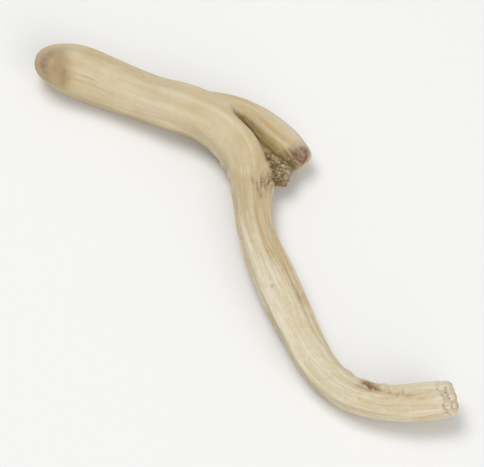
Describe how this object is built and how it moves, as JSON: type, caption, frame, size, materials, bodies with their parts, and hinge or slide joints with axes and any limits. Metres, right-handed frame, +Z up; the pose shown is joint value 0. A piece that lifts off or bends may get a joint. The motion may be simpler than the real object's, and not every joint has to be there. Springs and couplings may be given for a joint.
{
  "type": "safed musli root",
  "caption": "Dried peeled safed musli root: round-ended body with a fused side finger, a narrow neck and a slender tail hooked to a blunt broken end.",
  "frame": {"origin": "bottom middle of the root's box, on the surface that it lies on", "axes": "+X along the root's longest extent, from the round head to the broken end; +Y towards the side finger; +Z up from the surface, along the shortest extent"},
  "size_m": [0.0738, 0.026, 0.0062],
  "materials": {
    "dried_root": "matt, dry and peeled, cream with ochre furrows and brown-tinted ends"
  },
  "bodies": {
    "root": {"root": "dried_root"}
  },
  "joints": []
}
